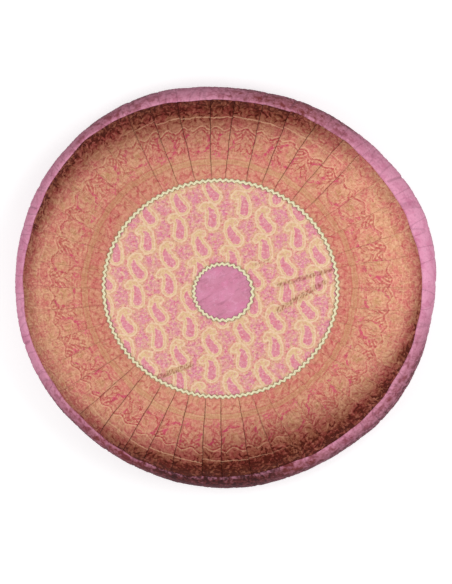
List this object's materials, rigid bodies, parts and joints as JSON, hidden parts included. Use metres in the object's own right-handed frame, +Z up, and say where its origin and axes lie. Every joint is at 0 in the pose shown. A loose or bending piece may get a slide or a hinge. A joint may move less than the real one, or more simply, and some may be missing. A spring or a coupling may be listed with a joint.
{
  "type": "round floor cushion",
  "caption": "Filled round floor cushion with a crushed velvet side, a pleated brocade ring, a paisley ring and a velvet centre edged in zigzag braid.",
  "frame": {"origin": "on the resting plane, under the middle of the cushion's outline", "axes": "+Z up out of the face, +X to the right of the face as seen from above, along the cushion's longest width"},
  "size_m": [0.6006, 0.573, 0.1489],
  "materials": {
    "crushed_velvet": "crushed velvet with a soft pile",
    "pleated_brocade": "satin brocade with metallic gold thread",
    "paisley_brocade": "brocade with gold thread",
    "centre_velvet": "plain velvet",
    "zigzag_braid": "woven braid",
    "back_cloth": "plain weave"
  },
  "bodies": {
    "root": {"velvet_side": "crushed_velvet", "ring_panel": "pleated_brocade", "paisley_panel": "paisley_brocade", "centre_patch": "centre_velvet", "outer_trim": "zigzag_braid", "inner_trim": "zigzag_braid", "back_panel": "back_cloth"}
  },
  "joints": []
}
